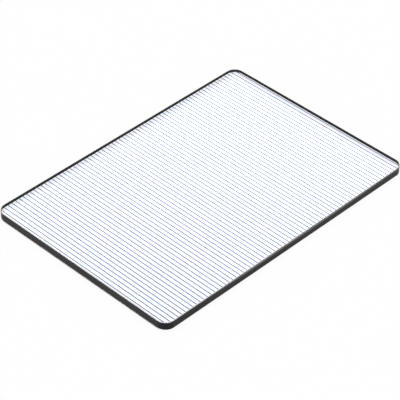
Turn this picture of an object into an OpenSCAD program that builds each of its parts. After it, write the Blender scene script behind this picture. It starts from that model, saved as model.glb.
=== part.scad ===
// Rectangular streak filter for a cine camera's filter tray.
// Two sheets of clear glass are cemented together over a grid of blue filaments,
// and the ground edge of the laminate is sealed in black.
// Millimetres. +X runs along the long side, +Z out of the front face.
// The origin is in the middle of the rear face.

/* [Plate outline] */
// Length of the filter along its long side
filter_length = 143.5; // [80:0.1:170]
// Width of the filter along its short side
filter_width = 101.6; // [60:0.1:170]
// Radius of the rounded corners, seen from the front
corner_radius = 4.7; // [2:0.1:12]

/* [Glass] */
// Thickness of the front sheet of glass
front_glass_thickness = 1.77; // [1:0.01:3]
// Thickness of the rear sheet of glass
rear_glass_thickness = 1.77; // [1:0.01:3]
// Width of the bevel ground along the outer edge of each sheet
edge_bevel = 0.25; // [0.1:0.05:0.8]

/* [Cement] */
// Film of clear cement between a filament and each sheet of glass
cement_film = 0.03; // [0.01:0.01:0.2]

/* [Filaments] */
// Diameter of one blue filament
filament_diameter = 0.4; // [0.1:0.05:0.6]
// Distance from the middle of one filament to the next
filament_pitch = 2.06; // [1:0.01:6]
// Least width of cement between the filaments and the edge of the glass, all round
grid_margin = 0.7; // [0.3:0.1:1.2]
// Distance that the grid of filaments lies off the middle of the plate
grid_offset = 0.2; // [-1:0.05:1]

/* [Edge seal] */
// Thickness of the black seal on the ground edge
seal_thickness = 0.1; // [0.05:0.01:0.5]

/* [Hidden] */
$fn = 96;

// The cement fills the space that the filaments hold open between the sheets
bond_thickness = filament_diameter + 2 * cement_film;
bond_floor = rear_glass_thickness;
bond_roof = bond_floor + bond_thickness;
filter_thickness = bond_roof + front_glass_thickness;
filament_height = bond_floor + bond_thickness / 2;

// The seal covers the upright wall, from bevel to bevel
seal_height = filter_thickness - 2 * edge_bevel;

// The glass is cut smaller than the filter by the seal
glass_length = filter_length - 2 * seal_thickness;
glass_width = filter_width - 2 * seal_thickness;
glass_corner_radius = corner_radius - seal_thickness;

// Middles of the corner arcs, which the glass and the seal share
arc_x = filter_length / 2 - corner_radius;
arc_y = filter_width / 2 - corner_radius;

// As many filaments as fit between the two margins
grid_room = glass_length - 2 * (grid_margin + abs(grid_offset)) - filament_diameter;
filament_count = floor(grid_room / filament_pitch) + 1;
first_filament_x = grid_offset - filament_pitch * (filament_count - 1) / 2;

// How far the cutting shape of the bevel reaches past the glass
cut_reach = edge_bevel;

// Outline with rounded corners of the given radius round the shared arc middles
module rounded_outline(radius) {
    square([2 * arc_x, 2 * (arc_y + radius)], center = true);
    square([2 * (arc_x + radius), 2 * arc_y], center = true);
    for (x = [-arc_x, arc_x], y = [-arc_y, arc_y])
        translate([x, y]) circle(r = radius);
}

// Upright block of the glass outline, from one height to another
module glass_block(floor_z, roof_z) {
    translate([0, 0, floor_z])
        linear_extrude(height = roof_z - floor_z) rounded_outline(glass_corner_radius);
}

// Carries a flat profile round the plate: its x is the distance out from the arc middles
module sweep_round_plate() {
    for (turn = [0 : 3]) {
        run_x = turn % 2 == 0 ? arc_x : arc_y;
        run_y = turn % 2 == 0 ? arc_y : arc_x;
        rotate([0, 0, 90 * turn]) translate([run_x, run_y, 0]) {
            rotate([90, 0, 0]) linear_extrude(height = 2 * run_y) children();
            rotate_extrude(angle = 90) children();
        }
    }
}

// What grinding takes off the rim of a sheet whose outer face is at height 0, facing up
module bevel_waste() {
    wall = glass_corner_radius;
    sweep_round_plate() polygon([
        [wall - edge_bevel - cut_reach, cut_reach],
        [wall + cut_reach, -edge_bevel - cut_reach],
        [wall + cut_reach, cut_reach]
    ]);
}

// Straight filaments at their pitch, running across the short way of the plate.
// Their ends follow the outline of the plate, set in by the margin.
module filament_grid() {
    intersection() {
        for (i = [0 : filament_count - 1])
            translate([first_filament_x + i * filament_pitch, 0, filament_height])
                rotate([90, 0, 0]) cylinder(d = filament_diameter, h = glass_width, center = true);
        translate([0, 0, bond_floor]) linear_extrude(height = bond_thickness)
            rounded_outline(glass_corner_radius - grid_margin);
    }
}

module front_glass() {
    color([0.93, 0.96, 0.97, 0.35]) difference() {
        glass_block(bond_roof, filter_thickness);
        translate([0, 0, filter_thickness]) bevel_waste();
    }
}

module rear_glass() {
    color([0.90, 0.94, 0.96, 0.35]) difference() {
        glass_block(0, bond_floor);
        mirror([0, 0, 1]) bevel_waste();
    }
}

// Clear cement, set round every filament and over its ends
module bond_layer() {
    color([0.97, 0.97, 0.93, 0.25]) difference() {
        glass_block(bond_floor, bond_roof);
        filament_grid();
    }
}

module streak_lines() {
    color([0.25, 0.47, 0.82]) filament_grid();
}

module edge_seal() {
    color([0.09, 0.09, 0.09]) translate([0, 0, edge_bevel])
        linear_extrude(height = seal_height) difference() {
            rounded_outline(corner_radius);
            rounded_outline(glass_corner_radius);
        }
}

front_glass();
rear_glass();
bond_layer();
streak_lines();
edge_seal();
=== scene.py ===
import math

import bpy
from mathutils import Matrix, Vector


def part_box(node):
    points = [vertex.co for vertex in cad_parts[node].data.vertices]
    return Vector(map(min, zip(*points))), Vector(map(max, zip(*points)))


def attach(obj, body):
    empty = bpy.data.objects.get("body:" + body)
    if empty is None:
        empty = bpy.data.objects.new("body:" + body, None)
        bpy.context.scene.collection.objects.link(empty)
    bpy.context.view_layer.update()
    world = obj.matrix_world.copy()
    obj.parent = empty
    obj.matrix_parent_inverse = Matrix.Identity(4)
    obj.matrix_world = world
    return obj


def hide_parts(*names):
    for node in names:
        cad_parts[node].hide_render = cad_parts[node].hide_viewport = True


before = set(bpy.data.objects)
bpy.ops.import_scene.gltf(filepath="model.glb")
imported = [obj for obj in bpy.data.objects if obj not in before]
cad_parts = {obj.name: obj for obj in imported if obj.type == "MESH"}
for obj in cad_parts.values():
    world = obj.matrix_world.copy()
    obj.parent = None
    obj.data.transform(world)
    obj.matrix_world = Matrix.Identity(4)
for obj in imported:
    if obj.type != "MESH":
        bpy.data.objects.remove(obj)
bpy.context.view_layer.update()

scene = bpy.context.scene
scene.tool_settings.mesh_select_mode = (False, True, False)  # edges
millimetre = 0.001
grainDepth = 0.02 * millimetre  # of the ground glass and of the brushed lacquer


def deselectAll():
    for item in bpy.context.selected_objects:
        item.select_set(False)
    bpy.context.view_layer.objects.active = None


# Camera, at the angle of the photograph
cameraSettings = {
    "aim": (-0.0073, -0.00566, 0.004),  # where the middle of the picture meets the front face
    "distance": 0.8503,
    "azimuth": -134.97,  # degrees round from +X, seen from the plate
    "elevation": 39.56,
    "roll": -0.17,
    "lens": 181.9,
    "sensor": 36.0,
    "clipStart": 0.01,
}


def placeCamera(settings):
    aim = Vector(settings["aim"])
    azimuth = math.radians(settings["azimuth"])
    elevation = math.radians(settings["elevation"])
    outward = Vector((
        math.cos(azimuth) * math.cos(elevation),
        math.sin(azimuth) * math.cos(elevation),
        math.sin(elevation),
    ))
    turn = outward.to_track_quat("Z", "Y").to_matrix().to_4x4()
    roll = Matrix.Rotation(math.radians(settings["roll"]), 4, "Z")
    bpy.ops.object.camera_add()
    camera = bpy.context.object
    camera.name = "photoCamera"
    camera.matrix_world = Matrix.Translation(aim + outward * settings["distance"]) @ turn @ roll
    camera.data.lens = settings["lens"]
    camera.data.sensor_width = settings["sensor"]
    camera.data.clip_start = settings["clipStart"]
    scene.camera = camera


placeCamera(cameraSettings)
print("camera placed")


# What the materials are put together from
def newMaterial(name, sockets):
    material = bpy.data.materials.new(name)
    material.use_nodes = True
    shader = material.node_tree.nodes["Principled BSDF"]
    for socket, value in sockets.items():
        shader.inputs[socket].default_value = value
    return material, material.node_tree, shader


def placedNoise(tree, scale, stretch=(1, 1, 1), detail=2.0):
    place = tree.nodes.new("ShaderNodeTexCoord")
    mapping = tree.nodes.new("ShaderNodeMapping")
    mapping.inputs["Scale"].default_value = stretch
    noise = tree.nodes.new("ShaderNodeTexNoise")
    noise.inputs["Scale"].default_value = scale
    noise.inputs["Detail"].default_value = detail
    tree.links.new(place.outputs["Object"], mapping.inputs["Vector"])
    tree.links.new(mapping.outputs["Vector"], noise.inputs["Vector"])
    return noise.outputs["Fac"]


def placeOnPiece(tree):  # X, Y and Z of each point of the piece
    place = tree.nodes.new("ShaderNodeTexCoord")
    parts = tree.nodes.new("ShaderNodeSeparateXYZ")
    tree.links.new(place.outputs["Object"], parts.inputs["Vector"])
    return parts.outputs


def distanceAlong(tree, coordinates, way):
    place = tree.nodes.new("ShaderNodeTexCoord")
    along = tree.nodes.new("ShaderNodeVectorMath")
    along.operation = "DOT_PRODUCT"
    along.inputs[1].default_value = way
    tree.links.new(place.outputs[coordinates], along.inputs[0])
    return along.outputs["Value"]


def mathNode(tree, operation, first, second=0):
    node = tree.nodes.new("ShaderNodeMath")
    node.operation = operation
    for socket, value in zip(node.inputs, (first, second)):
        if isinstance(value, (int, float)):
            socket.default_value = value
        else:
            tree.links.new(value, socket)
    return node.outputs["Value"]


def mapped(tree, value, reach, span, smooth=False):
    node = tree.nodes.new("ShaderNodeMapRange")
    if smooth:
        node.interpolation_type = "SMOOTHSTEP"
    for name, bound in zip(("From Min", "From Max", "To Min", "To Max"), (*reach, *span)):
        node.inputs[name].default_value = bound
    tree.links.new(value, node.inputs["Value"])
    return node.outputs["Result"]


def colourRamp(tree, value, stops, colours):
    node = tree.nodes.new("ShaderNodeValToRGB")
    elements = node.color_ramp.elements
    while len(elements) < len(stops):
        elements.new(1.0)
    for element, stop, colour in zip(elements, stops, colours):
        element.position = stop
        element.color = colour
    tree.links.new(value, node.inputs["Fac"])
    return node.outputs["Color"]


def addBump(tree, shader, height, strength):
    bump = tree.nodes.new("ShaderNodeBump")
    bump.inputs["Strength"].default_value = strength
    bump.inputs["Distance"].default_value = grainDepth
    tree.links.new(height, bump.inputs["Height"])
    tree.links.new(bump.outputs["Normal"], shader.inputs["Normal"])


# Blue filaments
filamentSettings = {
    "deep": (0.045, 0.29, 0.94, 1),
    "pale": (0.065, 0.34, 0.98, 1),
    "stops": (0.35, 0.65),
    "streakScale": 60,
    "streakStretch": (8, 1, 8),
    "streakDetail": 3.0,
    "roughness": 0.5,
    "gloss": 0.0,  # the cement wets it
}


def blueFilament(settings):
    material, tree, shader = newMaterial("blueFilament", {
        "Roughness": settings["roughness"],
        "Specular IOR Level": settings["gloss"],
    })
    streaks = placedNoise(
        tree, settings["streakScale"], settings["streakStretch"], settings["streakDetail"]
    )
    colour = colourRamp(tree, streaks, settings["stops"], (settings["deep"], settings["pale"]))
    tree.links.new(colour, shader.inputs["Base Color"])
    return material


# Black lacquer on the edge, with a painted highlight, lighter towards the top, along the front bevel of
# one long wall
sealSettings = {
    "colour": (0.006, 0.0058, 0.0055, 1),
    # the colour of random wear, and also the middle of the painted highlight
    "wornAndMidHighlight": (0.022, 0.021, 0.020, 1),
    # the lightest colour of the painted highlight along the front bevel
    "highlight": (0.2, 0.195, 0.19, 1),
    "stops": (0.4, 0.7, 1.0),  # the wear and painted highlight at which each of these colours is reached
    "roughness": 0.32,
    "gloss": 0.14,
    "brushScale": 700,
    "brushStretch": (1, 1, 3),
    "brushDetail": 4.0,
    "brushBump": 0.12,
    "patchScale": 28,
    "patchStretch": (1, 1, 4),
    "patchDetail": 1.0,
    "patchShare": 0.6,  # how much of the colour follows broad patches, not the brush
    # Heights over which the painted highlight rises towards the front bevel
    "highlightHeight": (2.0 * millimetre, 3.4 * millimetre),
    # An axis, a stretch of it, and the share of the painted highlight at either end of the stretch
    "highlightAlong": (
        ("Y", (-50.8 * millimetre, -50.5 * millimetre), (1, 0)),
        ("X", (-60 * millimetre, -20 * millimetre), (0.7, 1)),
        ("X", (30 * millimetre, 60 * millimetre), (1, 0.86)),
    ),
    "backRoughness": 0.9,
}


# Painted highlight: lighter lacquer along the top of the front long wall, where the bevel catches the
# light
def paintedBevelHighlight(tree, settings):
    place = placeOnPiece(tree)
    wearAndHighlight = mapped(tree, place["Z"], settings["highlightHeight"], (settings["stops"][0], 1))
    for axis, reach, span in settings["highlightAlong"]:
        wearAndHighlight = mathNode(tree, "MULTIPLY", wearAndHighlight, mapped(tree, place[axis], reach, span))
    return wearAndHighlight


def blackLacquer(settings):
    material, tree, shader = newMaterial("blackLacquer", {
        "Roughness": settings["roughness"],
        "Specular IOR Level": settings["gloss"],
    })
    brush = placedNoise(tree, settings["brushScale"], settings["brushStretch"], settings["brushDetail"])
    patches = placedNoise(tree, settings["patchScale"], settings["patchStretch"], settings["patchDetail"])
    blend = tree.nodes.new("ShaderNodeMix")
    blend.inputs["Factor"].default_value = settings["patchShare"]
    tree.links.new(brush, blend.inputs["A"])
    tree.links.new(patches, blend.inputs["B"])
    # The brush and patches are the lacquer's own random tone; the bevel strip laid over them is painted
    # highlight
    wearAndHighlight = mathNode(tree, "MAXIMUM", blend.outputs["Result"], paintedBevelHighlight(tree, settings))
    colours = (settings["colour"], settings["wornAndMidHighlight"], settings["highlight"])
    tree.links.new(colourRamp(tree, wearAndHighlight, settings["stops"], colours), shader.inputs["Base Color"])
    addBump(tree, shader, brush, settings["brushBump"])
    return material


def lacquerBehindGlass(settings):  # wetted by the glass, so it has no gloss of its own
    return newMaterial("lacquerBehindGlass", {
        "Base Color": settings["colour"],
        "Roughness": settings["backRoughness"],
        "Specular IOR Level": 0.0,
    })[0]


def dressNode(node, material):
    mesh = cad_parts[node]
    if not mesh.material_slots:
        mesh.data.materials.append(material)
    for slot in mesh.material_slots:
        slot.material = material


dressNode("streak_lines", blueFilament(filamentSettings))
dressNode("edge_seal", blackLacquer(sealSettings))
print("filaments and seal dressed")


# Glass, polished on its faces and ground on its bevels
glassSettings = {
    "tint": (0.985, 0.995, 0.99, 1),
    "ior": 1.52,
    # Bevels: colour, how much light they let through, and roughness
    "frontBevel": ((0.92, 0.90, 0.87, 1), 0.35, 0.55),
    "rearBevel": ((1.0, 0.95, 0.86, 1), 1.0, 0.15),
    "grainScale": 9000,  # grains to the metre
    "grainBump": 0.15,
}


def clearGlass(name, tint, ior):
    return newMaterial(name, {
        "Base Color": tint,
        "Roughness": 0.0,
        "IOR": ior,
        "Transmission Weight": 1.0,
    })[0]


def groundGlass(name, settings, bevel):
    colour, clear, roughness = settings[bevel]
    material, tree, shader = newMaterial(name, {
        "Base Color": colour,
        "Roughness": roughness,
        "IOR": settings["ior"],
        "Transmission Weight": clear,
    })
    addBump(tree, shader, placedNoise(tree, settings["grainScale"]), settings["grainBump"])
    return material


polished = clearGlass("polishedGlass", glassSettings["tint"], glassSettings["ior"])
# The cement matches the glass, so a cemented face neither bends nor mirrors light
cemented = clearGlass("cementedGlass", (1, 1, 1, 1), 1.0)
frontBevel = groundGlass("frontBevelGlass", glassSettings, "frontBevel")
rearBevel = groundGlass("rearBevelGlass", glassSettings, "rearBevel")
lacquerBack = lacquerBehindGlass(sealSettings)

# Glass sheets and the cement between them, modelled in millimetres and then brought to metres
sheetSettings = {
    "cornerRadius": 4.59,
    "cornerSteps": 24,
    "bevel": 0.25,
    "reach": 0.02,  # how close a corner has to be to a plane to count as on it
    "sheetInset": (0.01, 0.01, 0),  # keeps the walls in front of the seal's inner face
    "cementInset": (0.01, 0.01, 0.01),  # and the cement's faces off the glass
    "flat": 0.9,  # a face that looks further up or down than this is flat
    "upright": 0.3,  # and one that looks less far is a wall
}


def selectEdges(mesh, wanted):
    bpy.ops.object.mode_set(mode="OBJECT")
    for face in mesh.polygons:
        face.select = False
    for vertex in mesh.vertices:
        vertex.select = False
    for edge in mesh.edges:
        ends = [mesh.vertices[index].co for index in edge.vertices]
        edge.select = wanted(ends[0], ends[1])
    bpy.ops.object.mode_set(mode="EDIT")


def roundedBlock(name, node, inset):
    low, high = (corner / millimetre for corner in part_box(node))
    low += Vector(inset)
    high -= Vector(inset)
    deselectAll()
    bpy.ops.mesh.primitive_cube_add(size=1, location=(low + high) / 2, scale=high - low)
    block = bpy.context.object
    block.name = name
    bpy.ops.object.transform_apply(location=True, rotation=False, scale=True)
    selectEdges(block.data, lambda a, b: abs(a.z - b.z) > sheetSettings["reach"])
    bpy.ops.mesh.bevel(
        offset=sheetSettings["cornerRadius"], segments=sheetSettings["cornerSteps"], affect="EDGES"
    )
    return block


def finishBlock(block, node, materials, pick):
    bpy.ops.mesh.select_all(action="SELECT")
    bpy.ops.mesh.normals_make_consistent(inside=False)
    bpy.ops.transform.resize(value=(millimetre,) * 3, center_override=(0, 0, 0))
    bpy.ops.object.mode_set(mode="OBJECT")
    for material in materials:
        block.data.materials.append(material)
    for face in block.data.polygons:
        face.material_index = pick(face.normal.z)
    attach(block, "root")
    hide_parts(node)


def glassSheet(name, node, outward, bevelGlass):  # outward is 1 where the outer face looks up
    low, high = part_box(node)
    outerHeight = (high if outward > 0 else low).z / millimetre
    reach = sheetSettings["reach"]
    sheet = roundedBlock(name, node, sheetSettings["sheetInset"])
    selectEdges(
        sheet.data, lambda a, b: abs(a.z - outerHeight) < reach and abs(b.z - outerHeight) < reach
    )
    bpy.ops.mesh.bevel(offset=sheetSettings["bevel"], segments=1, affect="EDGES")

    def pick(facing):
        if facing * outward > sheetSettings["flat"]:
            return 0  # outer face
        if facing * outward > sheetSettings["upright"]:
            return 1  # bevel
        if facing * outward > -sheetSettings["upright"]:
            return 2  # wall
        return 3  # bonded face

    finishBlock(sheet, node, [polished, bevelGlass, lacquerBack, cemented], pick)


def cementLayer(name, node):
    layer = roundedBlock(name, node, sheetSettings["cementInset"])

    def pick(facing):
        return 0 if abs(facing) > sheetSettings["upright"] else 1

    finishBlock(layer, node, [cemented, lacquerBack], pick)


glassSheet("frontGlass", "front_glass", 1, frontBevel)
glassSheet("rearGlass", "rear_glass", -1, rearBevel)
cementLayer("cementLayer", "bond_layer")
print("glass sheets and cement made")


# Floor and light
studioSettings = {
    "floorSize": 12.0,
    "floorDrop": 0.05 * millimetre,
    "floorColour": (0.9, 0.9, 0.9, 1),
    "floorRoughness": 0.9,
    "openShadow": 0.1,  # how much of its own shading the floor shows where it is open
    "closeShadow": (0.12 * millimetre, 0.35 * millimetre),  # but all of it close to the left short end
    "closeShadowEnds": (6 * millimetre, 2 * millimetre),  # up to where its corners turn away
    "glassShadow": 0.28,  # and how much of it shows through the glass
    "glowThroughGlass": (1.23, 1.78),  # makes up for the light that the glass turns back
    "glowWay": (0.824, 0.566, 0),  # and rises towards the far right
    "glowReach": (-0.075, 0.04),
    "glowByWall": (0.97, 1.85),  # but is held back beside the far walls, which shade the floor
    "wallReach": 5.5 * millimetre,
    "glowUnderBevel": 1.3,  # and light gets in again under the bevel
    "bevelReach": (0.26 * millimetre, 0.3 * millimetre),
    "skyStrength": 0.45,
    "softboxStrength": 1.9,
    "softboxWay": (0, 0, 1),  # overhead
    "softboxEdge": (0.75, 0.9),  # cosines between which it comes up
}


def glassGlow(tree, settings):  # strength of the floor's glow under the plate
    along = distanceAlong(tree, "Object", settings["glowWay"])
    rise = mapped(tree, along, settings["glowReach"], settings["glowThroughGlass"])
    place = placeOnPiece(tree)
    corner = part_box("front_glass")[1]
    toRight = mathNode(tree, "SUBTRACT", corner.x, place["X"])
    toUpper = mathNode(tree, "SUBTRACT", corner.y, place["Y"])
    nearest = mathNode(tree, "MINIMUM", toRight, toUpper)
    byWall = mapped(tree, nearest, (0, settings["wallReach"]), settings["glowByWall"], True)
    underBevel = mapped(tree, nearest, settings["bevelReach"], (settings["glowUnderBevel"], 0))
    return mathNode(tree, "MINIMUM", rise, mathNode(tree, "MAXIMUM", byWall, underBevel))


def closeShadow(tree, settings):  # 1 along the foot of the left short end, 0 elsewhere
    place = placeOnPiece(tree)
    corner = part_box("rear_glass")[0]
    aside = mathNode(tree, "ABSOLUTE", mathNode(tree, "SUBTRACT", place["X"], corner.x))
    along = mathNode(tree, "ABSOLUTE", place["Y"])
    ends = [-corner.y - gap for gap in settings["closeShadowEnds"]]
    byFoot = mapped(tree, aside, settings["closeShadow"], (1, 0), True)
    byLength = mapped(tree, along, ends, (1, 0), True)
    return mathNode(tree, "MULTIPLY", byFoot, byLength)


def paleFloor(settings):
    material, tree, shader = newMaterial("paleFloor", {
        "Base Color": settings["floorColour"],
        "Roughness": settings["floorRoughness"],
        "Specular IOR Level": 0.0,
    })
    path = tree.nodes.new("ShaderNodeLightPath")
    inTheOpen = mathNode(tree, "MAXIMUM", path.outputs["Is Camera Ray"], path.outputs["Is Glossy Ray"])
    unshaded = mathNode(tree, "SUBTRACT", 1, closeShadow(tree, settings))
    paleShare = mathNode(tree, "MULTIPLY", inTheOpen, 1 - settings["openShadow"])
    openShare = mathNode(tree, "MULTIPLY", paleShare, unshaded)
    throughGlass = path.outputs["Is Transmission Ray"]
    glassShare = mathNode(tree, "MULTIPLY", throughGlass, 1 - settings["glassShadow"])
    extra = mathNode(tree, "SUBTRACT", glassGlow(tree, settings), 1)
    glow = tree.nodes.new("ShaderNodeEmission")
    glow.inputs["Color"].default_value = (1, 1, 1, 1)
    strength = mathNode(tree, "ADD", 1, mathNode(tree, "MULTIPLY", extra, throughGlass))
    tree.links.new(strength, glow.inputs["Strength"])
    mix = tree.nodes.new("ShaderNodeMixShader")
    tree.links.new(mathNode(tree, "MAXIMUM", openShare, glassShare), mix.inputs["Fac"])
    tree.links.new(shader.outputs["BSDF"], mix.inputs[1])
    tree.links.new(glow.outputs["Emission"], mix.inputs[2])
    tree.links.new(mix.outputs["Shader"], tree.nodes["Material Output"].inputs["Surface"])
    return material


def makeFloor(settings):
    deselectAll()
    bpy.ops.mesh.primitive_plane_add(size=settings["floorSize"], location=(0, 0, -settings["floorDrop"]))
    floor = bpy.context.object
    floor.name = "studioFloor"
    floor.data.materials.append(paleFloor(settings))


def lightWorld(settings):
    world = bpy.data.worlds.new("studioWorld")
    world.use_nodes = True
    scene.world = world
    tree = world.node_tree
    nearness = distanceAlong(tree, "Generated", settings["softboxWay"])
    span = (settings["skyStrength"], settings["skyStrength"] + settings["softboxStrength"])
    rise = mapped(tree, nearness, settings["softboxEdge"], span, True)
    seen = tree.nodes.new("ShaderNodeLightPath").outputs["Is Camera Ray"]
    lit = mathNode(tree, "MULTIPLY", rise, mathNode(tree, "SUBTRACT", 1, seen))
    backdrop = tree.nodes["Background"]
    backdrop.inputs["Color"].default_value = (1, 1, 1, 1)
    tree.links.new(mathNode(tree, "ADD", lit, seen), backdrop.inputs["Strength"])


makeFloor(studioSettings)
lightWorld(studioSettings)
print("floor and light set")

scene.view_settings.view_transform = "Standard"
